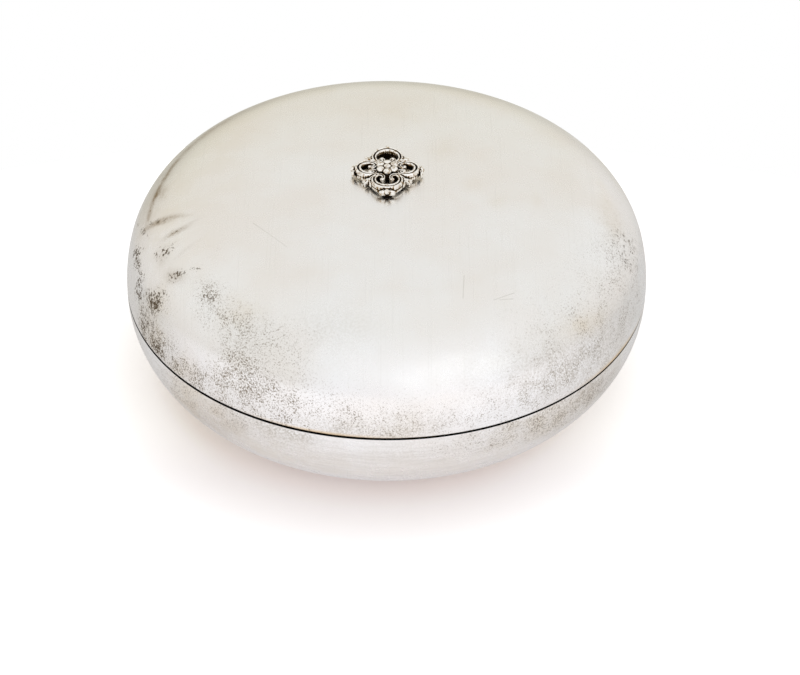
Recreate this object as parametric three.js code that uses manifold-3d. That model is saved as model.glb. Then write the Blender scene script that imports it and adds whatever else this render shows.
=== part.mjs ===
// A round silver box of bun shape: a raised bowl, a lift-off domed lid and a cast openwork mount on the lid.
// Millimetres, +Z up. The origin is on the standing plane, under the centre of the bowl.
import * as THREE from "three";
import { mergeVertices } from "three/addons/utils/BufferGeometryUtils.js";
import Module from "manifold-3d";

const wasm = await Module();
wasm.setup();

// Shells: two pieces of sheet raised over a stake, widest where they meet.
const OUTER_RADIUS = 80;
const SHEET = 1;
const EDGE_ROUND = 0.4;

const BASE_DEPTH = 34.1;
const BASE_SIDE_RADIUS = 32.5;
const BASE_SIDE_ANGLE = 35;
const STANDING_RING_WIDTH = 9;
const KICK_RISE = 1.2;

const LID_RISE = 36.3;
const LID_SIDE_RADIUS = 47;
const LID_SIDE_ANGLE = 14;
const LID_SHOULDER_RADIUS = 0.78 * LID_RISE;

// Bands soldered inside both mouths, and the collar that guides the lid.
const BAND_THICKNESS = 1.2;
const BASE_BAND_HEIGHT = 5;
const LID_BAND_HEIGHT = 6;
const COLLAR_THICKNESS = 0.9;
const COLLAR_ABOVE = 4.6;
const COLLAR_BELOW = 6.5;
const COLLAR_LEAD = 0.5;

// Clearances: between soldered pieces, under a resting piece, round the collar and round a screw thread.
const SOLDER_GAP = 0.25;
const SEAT_GAP = 0.3;
const SLIDING_GAP = 0.3;
const THREAD_GAP = 0.2;
const HOLE_CLEARANCE = 0.3;

// Cast openwork mount: four heart-shaped scrolls round a rosette, with leaves between them.
// MELT is how far its parts run into each other, as they do in one casting.
const SCROLL_RADIUS_LONG = 4;
const SCROLL_RADIUS_CROSS = 3.1;
const SCROLL_SWEEP = 125;
const CURL_SHARE = 0.3;
const CURL_SWEEP = 200;
const STROKE_WIDTH = 2.3;
const STROKE_HEIGHT = 2.6;
const STROKE_END_SHARE = 0.5;
const HUB_RADIUS = 3.6;
const HUB_HEIGHT = 2.3;
const PETAL_COUNT = 6;
const PETAL_RADIUS = 1.3;
const BOSS_RADIUS = 1.4;
const BOSS_HEIGHT = 3.2;
const LEAF_REACH = 10;
const LEAF_WIDTH = 1.8;
const LEAF_HEIGHT = 2.2;
const LEAF_TIP = 0.25;
const BEAD_RADIUS = 0.85;
const MELT = 0.3;
const FOOT_HEIGHT = 0.35;
const FOOT_RADIUS = 1.6;

// Smaller lobes, as shares of the leaf or stroke that they grow from, with their angles in radians.
const SIDE_LOBE = { start: 0.55, length: 0.42, width: 0.7, height: 0.85, tip: 0.45, spread: 0.3, bend: 1.1 };
const END_LOBE = { length: 1.1, width: 0.55, height: 0.75, tip: 0.5, spread: 0.75, bend: 1.2 };

// Fixings under the crown of the lid, on the casting's two threaded pins.
const PIN_RADIUS = 1;
const THREAD_BELOW_NUT = 0.9;
const NUT_ACROSS_FLATS = 4;
const NUT_HEIGHT = 1.6;
const WASHER_RADIUS = 2.6;
const WASHER_HEIGHT = 0.5;

// Facets round the shells and along their arcs.
const ROUND_STEPS = 52;
const SMALL_ROUND_STEPS = 16;
const ARC_STEPS = 5;

const QUARTER = Math.PI / 2;
const degrees = THREE.MathUtils.degToRad;
const point = (x, y) => new THREE.Vector2(x, y);
const polar = (angle, distance) => point(Math.cos(angle) * distance, Math.sin(angle) * distance);

// Points on a circle from one angle to another, both ends included.
function arc(centre, radius, from, to, steps = ARC_STEPS) {
  return Array.from({ length: steps + 1 }, (_, i) => {
    const angle = from + ((to - from) * i) / steps;
    return point(centre.x + radius * Math.cos(angle), centre.y + radius * Math.sin(angle));
  });
}

// A closed mesh with merged vertices as a solid that can be joined and cut.
function solidOf(geometry) {
  const bare = geometry.clone();
  bare.deleteAttribute("normal");
  bare.deleteAttribute("uv");
  const merged = mergeVertices(bare, 1e-4);
  const index = merged.index.array;
  const triangles = [];
  for (let i = 0; i < index.length; i += 3) {
    const [a, b, c] = index.slice(i, i + 3);
    if (a !== b && b !== c && c !== a) triangles.push(a, b, c);
  }
  const mesh = new wasm.Mesh({
    numProp: 3,
    vertProperties: new Float32Array(merged.attributes.position.array),
    triVerts: new Uint32Array(triangles),
  });
  return new wasm.Manifold(mesh);
}

function geometryOf(solid) {
  const mesh = solid.getMesh();
  const positions = new Float32Array(mesh.numVert * 3);
  for (let i = 0; i < mesh.numVert; i++) {
    positions.set(mesh.vertProperties.subarray(i * mesh.numProp, i * mesh.numProp + 3), i * 3);
  }
  const geometry = new THREE.BufferGeometry();
  geometry.setAttribute("position", new THREE.BufferAttribute(positions, 3));
  geometry.setIndex(new THREE.BufferAttribute(mesh.triVerts, 1));
  geometry.computeVertexNormals();
  return geometry;
}

const joined = (solids) => solids.reduce((whole, piece) => whole.add(piece));

// A profile of radius and height turned about the vertical axis.
function revolve(profile, steps = ROUND_STEPS) {
  return new THREE.LatheGeometry(profile, steps).rotateX(QUARTER);
}

function cylinder(radius, bottom, top, steps = SMALL_ROUND_STEPS) {
  const geometry = new THREE.CylinderGeometry(radius, radius, top - bottom, steps);
  return geometry.rotateX(QUARTER).translate(0, 0, (top + bottom) / 2);
}

function ball(radius, steps = 8) {
  return new THREE.SphereGeometry(radius, steps, Math.ceil(0.6 * steps)).rotateX(QUARTER);
}

// Base: a side arc from the mouth, a belly arc down to the standing plane, and a bottom pushed up in
// the middle.
const baseMouth = BASE_DEPTH;
const baseSide = {
  centre: point(OUTER_RADIUS - BASE_SIDE_RADIUS, baseMouth - EDGE_ROUND),
  radius: BASE_SIDE_RADIUS,
  angle: degrees(BASE_SIDE_ANGLE),
};
const bellyRadius =
  (baseSide.centre.y - baseSide.radius * Math.sin(baseSide.angle)) / (1 - Math.sin(baseSide.angle));
const bellyCentre = point(
  baseSide.centre.x + (baseSide.radius - bellyRadius) * Math.cos(baseSide.angle),
  bellyRadius,
);
const standingOuter = bellyCentre.x;
const standingInner = standingOuter - STANDING_RING_WIDTH;
const kickRadius = (standingInner ** 2 + KICK_RISE ** 2) / (2 * KICK_RISE);

// Radius of the bowl's inner face at a height above the standing plane.
function bowlInnerRadius(height) {
  const onSide = height > baseSide.centre.y - baseSide.radius * Math.sin(baseSide.angle);
  const centre = onSide ? baseSide.centre : bellyCentre;
  const radius = (onSide ? baseSide.radius : bellyRadius) - SHEET;
  return centre.x + Math.sqrt(radius ** 2 - (centre.y - height) ** 2);
}

function bowlProfile() {
  const kickCentre = point(0, KICK_RISE - kickRadius);
  const kickSpan = Math.asin(standingInner / kickRadius);
  const kick = (lift) => arc(kickCentre, kickRadius + lift, QUARTER, QUARTER - kickSpan, 3);
  const outer = [
    ...kick(0),
    ...arc(bellyCentre, bellyRadius, -QUARTER, -baseSide.angle),
    ...arc(baseSide.centre, baseSide.radius, -baseSide.angle, 0, 4).slice(1),
    ...arc(point(OUTER_RADIUS - EDGE_ROUND, baseSide.centre.y), EDGE_ROUND, 0, QUARTER, 3).slice(1),
  ];
  const inner = [
    point(OUTER_RADIUS - SHEET, baseMouth),
    ...arc(baseSide.centre, baseSide.radius - SHEET, 0, -baseSide.angle, 4),
    ...arc(bellyCentre, bellyRadius - SHEET, -baseSide.angle, -QUARTER).slice(1),
    ...kick(SHEET).reverse(),
  ];
  return [...outer, ...inner];
}

// Lid: a side arc, a tighter shoulder arc and a wide crown arc, each tangent to the next.
const lidEdge = baseMouth + SEAT_GAP;
const lidSide = {
  centre: point(OUTER_RADIUS - LID_SIDE_RADIUS, lidEdge + EDGE_ROUND),
  radius: LID_SIDE_RADIUS,
  angle: degrees(LID_SIDE_ANGLE),
};
const shoulderCentre = point(
  lidSide.centre.x + (LID_SIDE_RADIUS - LID_SHOULDER_RADIUS) * Math.cos(lidSide.angle),
  lidSide.centre.y + (LID_SIDE_RADIUS - LID_SHOULDER_RADIUS) * Math.sin(lidSide.angle),
);
const crownTop = lidEdge + LID_RISE;
const crownDrop = crownTop - shoulderCentre.y;
const crownRadius =
  (shoulderCentre.x ** 2 + crownDrop ** 2 - LID_SHOULDER_RADIUS ** 2) /
  (2 * (crownDrop - LID_SHOULDER_RADIUS));
const crownCentre = point(0, crownTop - crownRadius);
const shoulderEnd = Math.atan2(shoulderCentre.y - crownCentre.y, shoulderCentre.x);

// Height of the lid's inner face at a distance from the axis, near the crown.
const crownUnderside = (distance) =>
  crownCentre.y + Math.sqrt((crownRadius - SHEET) ** 2 - distance ** 2);

// Radius of the lid's inner face at a height on its side arc.
function lidInnerRadius(height) {
  const radius = lidSide.radius - SHEET;
  return lidSide.centre.x + Math.sqrt(radius ** 2 - (height - lidSide.centre.y) ** 2);
}

function lidProfile() {
  const arcs = (lift) => [
    ...arc(lidSide.centre, lidSide.radius - lift, 0, lidSide.angle, 3),
    ...arc(shoulderCentre, LID_SHOULDER_RADIUS - lift, lidSide.angle, shoulderEnd, 7).slice(1),
    ...arc(crownCentre, crownRadius - lift, shoulderEnd, QUARTER, 4).slice(1),
  ];
  const edge = arc(point(OUTER_RADIUS - EDGE_ROUND, lidSide.centre.y), EDGE_ROUND, -QUARTER, 0, 3);
  return [...arcs(SHEET).reverse(), point(OUTER_RADIUS - SHEET, lidEdge), ...edge.slice(0, -1), ...arcs(0)];
}

// Straight bands: each hugs its shell where the shell is narrowest over the band's height.
const lidBandOuter = lidInnerRadius(lidEdge + LID_BAND_HEIGHT) - SOLDER_GAP;
const baseBandOuter = bowlInnerRadius(baseMouth - BASE_BAND_HEIGHT) - SOLDER_GAP;
const collarOuter =
  Math.min(lidBandOuter - BAND_THICKNESS - SLIDING_GAP, baseBandOuter - BAND_THICKNESS - SOLDER_GAP);
const collarInner = collarOuter - COLLAR_THICKNESS;

function bandGeometry(outer, inner, bottom, top) {
  const corners = [point(inner, bottom), point(outer, bottom), point(outer, top), point(inner, top)];
  return revolve([...corners, corners[0]]);
}

// The base band fills the space between the bowl and the collar.
const baseBand = () =>
  bandGeometry(baseBandOuter, collarOuter + SOLDER_GAP, baseMouth - BASE_BAND_HEIGHT, baseMouth);
const lidBand = () =>
  bandGeometry(lidBandOuter, collarOuter + SLIDING_GAP, lidEdge, lidEdge + LID_BAND_HEIGHT);

// The collar stands above the mouth, with its top edge drawn in so that the lid finds it.
function collar() {
  const top = baseMouth + COLLAR_ABOVE;
  const bottom = baseMouth - COLLAR_BELOW;
  return revolve([
    point(collarInner, bottom),
    point(collarOuter, bottom),
    point(collarOuter, top - 2 * COLLAR_LEAD),
    point(collarOuter - COLLAR_LEAD, top),
    point(collarInner - COLLAR_LEAD / 4, top),
    point(collarInner, top - COLLAR_LEAD),
    point(collarInner, bottom),
  ]);
}

// A bar with its own section at each step: rings of points, stitched together and capped at both ends.
function stitched(rings) {
  const around = rings[0].length;
  const positions = rings.flat().flatMap((p) => [p.x, p.y, p.z]);
  const index = [];
  for (let i = 0; i < rings.length - 1; i++) {
    for (let j = 0; j < around; j++) {
      const k = (j + 1) % around;
      const [a, b, c, d] = [i * around + j, i * around + k, (i + 1) * around + k, (i + 1) * around + j];
      index.push(a, b, c, a, c, d);
    }
  }
  const end = (rings.length - 1) * around;
  for (let j = 1; j < around - 1; j++) index.push(0, j + 1, j, end, end + j, end + j + 1);
  const geometry = new THREE.BufferGeometry();
  geometry.setAttribute("position", new THREE.Float32BufferAttribute(positions, 3));
  geometry.setIndex(index);
  return solidOf(geometry);
}

// Points of a section, given across and up, set square to a heading at a place in the plane of the casting.
function section(place, heading, points) {
  const across = polar(heading + QUARTER, 1);
  return points.map(([u, v]) => new THREE.Vector3(place.x + across.x * u, place.y + across.y * u, v));
}

// Half of the scrolls' reeded section, as shares of its width and height: a rounded ridge beside a channel.
const REEDED_HALF = [
  [0.5, 0],
  [0.44, 0.75],
  [0.24, 1],
];
const REEDED = [...REEDED_HALF, [0, 0.75], ...REEDED_HALF.toReversed().map(([u, v]) => [-u, v])];

// Each scroll lies as far out as its two curls, which rest against the rosette, let it.
const SCROLLS = [0, 1, 2, 3].map((quarter) => {
  const radius = quarter % 2 === 1 ? SCROLL_RADIUS_LONG : SCROLL_RADIUS_CROSS;
  const curlCentre = polar(degrees(SCROLL_SWEEP), (1 - CURL_SHARE) * radius);
  const curlOutline = CURL_SHARE * radius + (STROKE_END_SHARE * STROKE_WIDTH) / 2;
  const centre = Math.sqrt((HUB_RADIUS + curlOutline - MELT) ** 2 - curlCentre.y ** 2) - curlCentre.x;
  return { angle: quarter * QUARTER, radius, centre, outer: centre + radius };
});

// A heart-shaped scroll: one stroke that bends both ways from its outer middle and curls in beside the
// rosette.
function scroll({ angle, radius, outer }) {
  const half = [-1, 1].map((side) => {
    const bends = [
      { radius, sweep: degrees(SCROLL_SWEEP), steps: 7 },
      { radius: radius * CURL_SHARE, sweep: degrees(CURL_SWEEP), steps: 6 },
    ];
    let place = polar(angle, outer);
    let heading = angle + side * QUARTER;
    const stations = [];
    for (const bend of bends) {
      const centre = place.clone().add(polar(heading + side * QUARTER, bend.radius));
      for (let i = 1; i <= bend.steps; i++) {
        const turned = heading + (side * bend.sweep * i) / bend.steps;
        const onBend = polar(turned - side * QUARTER, bend.radius).add(centre);
        stations.push({ place: onBend, heading: turned });
      }
      ({ place, heading } = stations.at(-1));
    }
    return stations;
  });
  const backwards = half[0].toReversed().map(({ place, heading }) => ({ place, heading: heading + Math.PI }));
  const stations = [...backwards, { place: polar(angle, outer), heading: angle + QUARTER }, ...half[1]];
  const rings = stations.map(({ place, heading }, i) => {
    const fromMiddle = Math.abs((2 * i) / (stations.length - 1) - 1);
    const size = THREE.MathUtils.lerp(1, STROKE_END_SHARE, fromMiddle);
    const rise = (STROKE_HEIGHT * (1 + size)) / 2;
    return section(place, heading, REEDED.map(([u, v]) => [u * STROKE_WIDTH * size, v * rise]));
  });
  const ends = [stations[0], stations.at(-1)].map(({ place }) => {
    const radius = 0.6 * STROKE_END_SHARE * STROKE_WIDTH;
    return solidOf(ball(radius).translate(place.x, place.y, STROKE_HEIGHT / 2));
  });
  return joined([stitched(rings), ...ends]);
}

// A leaf lobe in the plane of the casting: it bends as it goes, swells, and ends in a blunt tip.
// Its round section sits low, so that the lobe's underside is flat once the casting's back is cut.
function leafLobe({ start, heading, bend = 0, length, width, height, tip }) {
  const steps = 5;
  const around = 6;
  const lowered = 0.42;
  const place = start.clone();
  const rings = Array.from({ length: steps + 1 }, (_, i) => {
    const along = i / steps;
    const direction = heading + bend * along;
    if (i > 0) place.add(polar(direction, length / steps));
    const size = THREE.MathUtils.lerp(tip, 1, Math.sin(Math.PI * THREE.MathUtils.lerp(1 / 3, 1, along)));
    const rise = (height * (1 + size)) / 2;
    const round = Array.from({ length: around }, (_, j) => {
      const turn = (2 * Math.PI * j) / around;
      return [(Math.cos(turn) * width * size) / 2, rise * (lowered + (1 - lowered) * Math.sin(turn))];
    });
    return section(place, direction, round);
  });
  return stitched(rings);
}

// Three lobes that fan out along a diagonal of the casting.
function leafSpray(angle) {
  const length = LEAF_REACH - HUB_RADIUS;
  const middle = {
    start: polar(angle, HUB_RADIUS),
    heading: angle,
    length,
    width: LEAF_WIDTH,
    height: LEAF_HEIGHT,
    tip: LEAF_TIP,
  };
  const sides = [-1, 1].map((side) => ({
    start: polar(angle, HUB_RADIUS + SIDE_LOBE.start * length),
    heading: angle + side * SIDE_LOBE.spread,
    bend: side * SIDE_LOBE.bend,
    length: SIDE_LOBE.length * length,
    width: SIDE_LOBE.width * LEAF_WIDTH,
    height: SIDE_LOBE.height * LEAF_HEIGHT,
    tip: SIDE_LOBE.tip,
  }));
  return joined([middle, ...sides].map(leafLobe));
}

// The outer end of each scroll: a bead between two short curled lobes.
function scrollTip({ angle, outer }) {
  const edge = outer + STROKE_WIDTH / 2;
  const lobes = [-1, 1].map((side) =>
    leafLobe({
      start: polar(angle, edge - MELT),
      heading: angle + side * END_LOBE.spread,
      bend: side * END_LOBE.bend,
      length: END_LOBE.length * STROKE_WIDTH,
      width: END_LOBE.width * STROKE_WIDTH,
      height: END_LOBE.height * STROKE_HEIGHT,
      tip: END_LOBE.tip,
    }),
  );
  const centre = polar(angle, edge + BEAD_RADIUS / 2);
  return joined([...lobes, solidOf(ball(BEAD_RADIUS).translate(centre.x, centre.y, STROKE_HEIGHT / 2))]);
}

// The rosette: a domed boss in a ring of petals.
function rosette() {
  const petals = Array.from({ length: PETAL_COUNT }, (_, i) => {
    const centre = polar((2 * Math.PI * i) / PETAL_COUNT + QUARTER, HUB_RADIUS - PETAL_RADIUS);
    return solidOf(ball(PETAL_RADIUS).scale(1, 1, 0.6).translate(centre.x, centre.y, HUB_HEIGHT));
  });
  const boss = ball(BOSS_RADIUS, 12).translate(0, 0, BOSS_HEIGHT - BOSS_RADIUS);
  return joined([...petals, solidOf(boss), solidOf(cylinder(HUB_RADIUS, 0, HUB_HEIGHT))]);
}

// The leaf sprays point at the gaps between neighbouring scrolls.
const longScroll = SCROLLS[1];
const crossScroll = SCROLLS[0];
const DIAGONALS = [
  [1, 1],
  [-1, 1],
  [-1, -1],
  [1, -1],
].map(([x, y]) => Math.atan2(y * longScroll.centre, x * crossScroll.centre));

// The casting stands on the crown by its middle and two feet, one under the outer end of each long scroll.
const castingBottom = crownTop + SEAT_GAP + FOOT_HEIGHT;
const pinReach = longScroll.outer;
const crownSag = (distance) => crownRadius - Math.sqrt(crownRadius ** 2 - distance ** 2);
const washerTop = crownUnderside(pinReach + WASHER_RADIUS) - SEAT_GAP;
const nutTop = washerTop - WASHER_HEIGHT - SEAT_GAP;
const threadEnd = nutTop - NUT_HEIGHT - THREAD_BELOW_NUT;

function ornament() {
  const casting = joined([
    ...SCROLLS.map(scroll),
    ...SCROLLS.map(scrollTip),
    ...DIAGONALS.map(leafSpray),
    rosette(),
  ]);
  const room = 2 * (pinReach + LEAF_REACH);
  const below = solidOf(new THREE.BoxGeometry(room, room, room).translate(0, 0, -room / 2));
  const middleFoot = solidOf(cylinder(HUB_RADIUS - FOOT_HEIGHT, -FOOT_HEIGHT, MELT));
  const feet = [-1, 1].flatMap((side) => {
    const foot = cylinder(FOOT_RADIUS, -FOOT_HEIGHT - crownSag(pinReach), MELT);
    const pin = cylinder(PIN_RADIUS, threadEnd - castingBottom, MELT);
    return [foot, pin].map((round) => solidOf(round.translate(0, side * pinReach, 0)));
  });
  const whole = joined([casting.subtract(below), middleFoot, ...feet]);
  return geometryOf(whole).translate(0, 0, castingBottom);
}

function washer() {
  const shape = new THREE.Shape().absarc(0, 0, WASHER_RADIUS, 0, 2 * Math.PI);
  shape.holes.push(new THREE.Path().absarc(0, 0, PIN_RADIUS + HOLE_CLEARANCE, 0, 2 * Math.PI, true));
  return new THREE.ExtrudeGeometry(shape, { depth: WASHER_HEIGHT, bevelEnabled: false, curveSegments: 10 });
}

function nut() {
  const cornerReach = NUT_ACROSS_FLATS / Math.sqrt(3);
  const corners = [0, 1, 2, 3, 4, 5].map((corner) => polar((corner * Math.PI) / 3, cornerReach));
  const shape = new THREE.Shape(corners);
  shape.holes.push(new THREE.Path().absarc(0, 0, PIN_RADIUS + THREAD_GAP, 0, 2 * Math.PI, true));
  return new THREE.ExtrudeGeometry(shape, { depth: NUT_HEIGHT, bevelEnabled: false, curveSegments: 8 });
}

// The lid's shell, with a hole for each of the casting's pins.
function lidShell() {
  const holes = [-1, 1].map((side) => {
    const hole = cylinder(PIN_RADIUS + HOLE_CLEARANCE, crownTop - 4 * SHEET, crownTop + SHEET);
    return solidOf(hole.translate(0, side * pinReach, 0));
  });
  return geometryOf(solidOf(revolve(lidProfile())).subtract(joined(holes)));
}

const materials = {
  wornSilver: new THREE.MeshStandardMaterial({ color: 0xe4e1da, metalness: 1, roughness: 0.3 }),
  giltSilver: new THREE.MeshStandardMaterial({ color: 0xdcc38a, metalness: 1, roughness: 0.35 }),
  oxidisedSilver: new THREE.MeshStandardMaterial({ color: 0x8f8778, metalness: 1, roughness: 0.35 }),
  brass: new THREE.MeshStandardMaterial({ color: 0xc9a85c, metalness: 1, roughness: 0.35 }),
};

const box = new THREE.Group();
const base = new THREE.Group();
const lid = new THREE.Group();
box.add(base, lid);

function add(group, name, geometry, material, x = 0, y = 0, z = 0) {
  const mesh = new THREE.Mesh(geometry, material);
  mesh.name = name;
  mesh.position.set(x, y, z);
  group.add(mesh);
}

add(base, "base_bowl", geometryOf(solidOf(revolve(bowlProfile()))), materials.wornSilver);
add(base, "base_rim_band", baseBand(), materials.giltSilver);
add(base, "base_collar", collar(), materials.giltSilver);

add(lid, "lid_dome", lidShell(), materials.wornSilver);
add(lid, "lid_rim_band", lidBand(), materials.giltSilver);
add(lid, "ornament", ornament(), materials.oxidisedSilver);
[-1, 1].forEach((side, i) => {
  add(lid, `pin_washer_${i + 1}`, washer(), materials.brass, 0, side * pinReach, washerTop - WASHER_HEIGHT);
  add(lid, `pin_nut_${i + 1}`, nut(), materials.brass, 0, side * pinReach, nutTop - NUT_HEIGHT);
});

export default box;
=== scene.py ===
from math import acos, atan2, ceil, cos, degrees, dist, exp, pi, radians, sin, sqrt, tan

import bpy
import numpy as np
from mathutils import Matrix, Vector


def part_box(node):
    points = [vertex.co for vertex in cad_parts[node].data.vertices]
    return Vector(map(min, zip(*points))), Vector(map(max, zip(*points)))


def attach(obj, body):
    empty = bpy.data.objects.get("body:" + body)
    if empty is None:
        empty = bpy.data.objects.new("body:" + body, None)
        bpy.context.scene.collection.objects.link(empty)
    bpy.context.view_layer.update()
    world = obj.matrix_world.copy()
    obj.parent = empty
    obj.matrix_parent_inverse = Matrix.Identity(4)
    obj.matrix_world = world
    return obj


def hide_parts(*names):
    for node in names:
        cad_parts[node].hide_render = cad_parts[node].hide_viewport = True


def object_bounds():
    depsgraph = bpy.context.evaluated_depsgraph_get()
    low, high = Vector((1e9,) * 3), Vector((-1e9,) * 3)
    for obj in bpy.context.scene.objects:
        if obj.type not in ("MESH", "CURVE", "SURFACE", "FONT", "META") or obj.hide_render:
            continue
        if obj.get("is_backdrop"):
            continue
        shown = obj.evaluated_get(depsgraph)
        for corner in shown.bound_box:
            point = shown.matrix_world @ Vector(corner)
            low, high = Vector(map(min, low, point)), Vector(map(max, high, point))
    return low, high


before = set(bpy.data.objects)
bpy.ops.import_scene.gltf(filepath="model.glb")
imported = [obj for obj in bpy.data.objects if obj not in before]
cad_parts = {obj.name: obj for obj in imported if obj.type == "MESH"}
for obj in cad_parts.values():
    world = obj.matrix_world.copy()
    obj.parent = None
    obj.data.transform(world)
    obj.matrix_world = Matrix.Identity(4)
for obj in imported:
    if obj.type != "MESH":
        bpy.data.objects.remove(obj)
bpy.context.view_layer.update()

# --------------------------------
# The bowl. Raised by hammer from one disc of 1 mm silver sheet and planished smooth. Its bottom is
# pushed up in the middle, so that it stands on a narrow flat ring, and its inside is fire-gilt.
# --------------------------------
MM = 0.001
SHELL_RADIUS = 80
SHEET = 1
LIP_ROUND = 0.4
INNER_CORNER = 0.15
BOWL_MOUTH = 34.1
BOWL_SIDE_RADIUS = 32.5
BOWL_SIDE_ANGLE = 35
STANDING_RING_WIDTH = 9
PUSHED_UP = 1.2
SHELL_AROUND = 384
# How finely the mesh follows the profile.
OUTSIDE_STEP, INSIDE_STEP, BOTTOM_STEP = 1.3, 2.6, 3
LIP_STEP, CORNER_STEP = 0.05, 0.08
SAME_PLACE = 1e-6
CREASE = radians(50)
# Where the wear lies, and how it fades.
OUTER_SKIN = 0.55 * SHEET
OFF_THE_OUTSIDE = 1e4
MARK_FADE = 0.55
SMOOTH = {"interpolation_type": "SMOOTHSTEP"}
CLAMPED = {"operation": "MULTIPLY", "use_clamp": True}
RGBA = {"data_type": "RGBA"}
# The layers painted on the shells: wear and tarnish, painted reflections in the stain and warmth layers, and
# painted shade in the seam between the lips.
LAYERS = ("specks", "flecks", "film", "warmth_and_reflection", "stain_and_reflection", "streaks", "seam_shade", "gilt_edge")
SCRATCHES = [((30.6, -55), (36.4, -51.5)), ((32.3, -54.6), (36.1, -53.4))]
SCRATCHES += [((22.2, -46.8), (21.7, -55.8)), ((-39.4, -22.3), (-29, -34.4))]
# Where the painted shade in the seam lies round the bowl's lip, and how it fades.
SEAM_SHADE_FROM, SEAM_SHADE_SWING, SEAM_SHADE_FADE, SEAM_SHADE_CLOCK = 30, 24, 9, -125


def linear(hex_colour):
    """An sRGB hex colour as the linear colour that a shader takes."""
    parts = [int(hex_colour[i : i + 2], 16) / 255 for i in (1, 3, 5)]
    return [c / 12.92 if c <= 0.04045 else ((c + 0.055) / 1.055) ** 2.4 for c in parts] + [1]


def add_node(tree, kind, sockets=(), stops=(), **settings):
    """Adds one shader node with its settings, the colour stops of a ramp, and what feeds each socket:
    a value, one output of a node, or a node, which stands for the first output that it has in use."""
    node = tree.nodes.new("ShaderNode" + kind)
    for setting, value in settings.items():
        setattr(node, setting, value)
    for socket, value in dict(sockets).items():
        if isinstance(value, bpy.types.Node):
            value = next(output for output in value.outputs if output.enabled)
        if isinstance(value, bpy.types.NodeSocket):
            tree.links.new(value, node.inputs[socket])
        else:
            node.inputs[socket].default_value = value
    for position, tint in stops:
        ends = {0: node.color_ramp.elements[0], 1: node.color_ramp.elements[-1]}
        stop = ends[position] if position in ends else node.color_ramp.elements.new(position)
        stop.color = linear(tint)
    return node


def new_piece(name, points, faces):
    """A smooth-shaded mesh as an object of the scene. Its points are in millimetres."""
    mesh = bpy.data.meshes.new(name)
    mesh.from_pydata([tuple(c * MM for c in point) for point in points], [], faces)
    mesh.polygons.foreach_set("use_smooth", [True] * len(faces))
    piece = bpy.data.objects.new(name, mesh)
    bpy.context.scene.collection.objects.link(piece)
    return piece


def bend(centre, radius, start, end, spacing):
    """Points along an arc of a profile, from one angle to another in degrees."""
    steps = max(2, round(radians(abs(end - start)) * radius / spacing))
    turns = np.radians(np.linspace(start, end, steps + 1))
    return [(centre[0] + radius * cos(t), centre[1] + radius * sin(t)) for t in turns]


def turned(name, stretches, metals, around, closed=False):
    """A piece of revolution. Each stretch of its profile is its points and the number of their metal."""
    profile, skins = [], []
    for points, skin in stretches:
        for place in points:
            if not profile or dist(place, profile[-1]) > SAME_PLACE:
                profile.append(place)
                skins.append(skin)
    clock = np.linspace(0, 2 * pi, around, endpoint=False)
    vertices, rings = [], []
    for radius, height in profile:
        here = clock if radius > SAME_PLACE else clock[:1]
        rings.append(np.arange(len(vertices), len(vertices) + len(here)))
        vertices += [(radius * cos(c), radius * sin(c), height) for c in here]
    faces, slots = [], []
    for i in range(len(profile) if closed else len(profile) - 1):
        k = (i + 1) % len(profile)
        a, b = np.resize(rings[i], around), np.resize(rings[k], around)
        for corners in zip(a, np.roll(a, -1), np.roll(b, -1), b):
            faces.append(list(dict.fromkeys(int(c) for c in corners)))
            slots.append(skins[k])
    piece = new_piece(name, vertices, faces)
    piece.data.polygons.foreach_set("material_index", slots)
    piece.data.set_sharp_from_angle(angle=CREASE)
    for used in metals:
        piece.data.materials.append(used)
    return piece


def places_on(piece, outside):
    """Each vertex's clock angle, run along the outside, radius and height. The inside runs off it."""
    co = np.empty(len(piece.data.vertices) * 3)
    piece.data.vertices.foreach_get("co", co)
    x, y, z = (co.reshape(-1, 3) / MM).T
    radius = np.hypot(x, y)
    line = np.array(outside)
    length = np.concatenate([[0], np.cumsum(np.hypot(*np.diff(line, axis=0).T))])
    off = np.hypot(radius[:, None] - line[None, :, 0], z[:, None] - line[None, :, 1])
    run = np.where(off.min(axis=1) < OUTER_SKIN, length[off.argmin(axis=1)], OFF_THE_OUTSIDE)
    return {"clock": np.degrees(np.arctan2(y, x)), "run": run, "radius": radius, "height": z}


def round_lip(places, height):
    """How far round a lip of this height each vertex lies, in degrees up from its outermost place."""
    return np.degrees(np.arctan2(places["height"] - height, places["radius"] - SHELL_RADIUS + LIP_ROUND))


def paint(piece, kind, amounts):
    """Gives each vertex of a piece its amount of one kind of wear."""
    layer = piece.data.attributes.new(kind, "FLOAT", "POINT")
    layer.data.foreach_set("value", amounts.astype(np.float32))


def paint_marks(piece, places, kind, marks):
    """Paints one layer on a shell as soft oval marks; most layers are wear, and some carry painted reflection
    too. Each is its clock angle, its run from the mouth, its half length and half width, how far it leans,
    and its strength."""
    clean = np.ones(len(piece.data.vertices))
    for clock, run, long, wide, lean, strength in marks:
        turn = (places["clock"] - clock + 180) % 360 - 180
        across, up = np.radians(turn) * np.clip(places["radius"], 1, None), places["run"] - run
        c, s = cos(radians(lean)), sin(radians(lean))
        reach = ((across * c + up * s) / long) ** 2 + ((up * c - across * s) / wide) ** 2
        clean *= 1 - strength * np.exp(-MARK_FADE * reach)
    paint(piece, kind, 1 - clean)


def metal(name, finish):
    """A bare metal. Its finish gives the colour, roughness and relief of each place."""
    material = bpy.data.materials.new(name)
    material.use_nodes = True
    tree = material.node_tree
    tree.nodes.clear()
    colour, rough, relief = finish(tree, add_node(tree, "TexCoord").outputs["Object"])
    look = {"Base Color": colour, "Metallic": 1, "Roughness": rough, "Normal": relief}
    add_node(tree, "OutputMaterial", {"Surface": add_node(tree, "BsdfPrincipled", look)})
    return material


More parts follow.
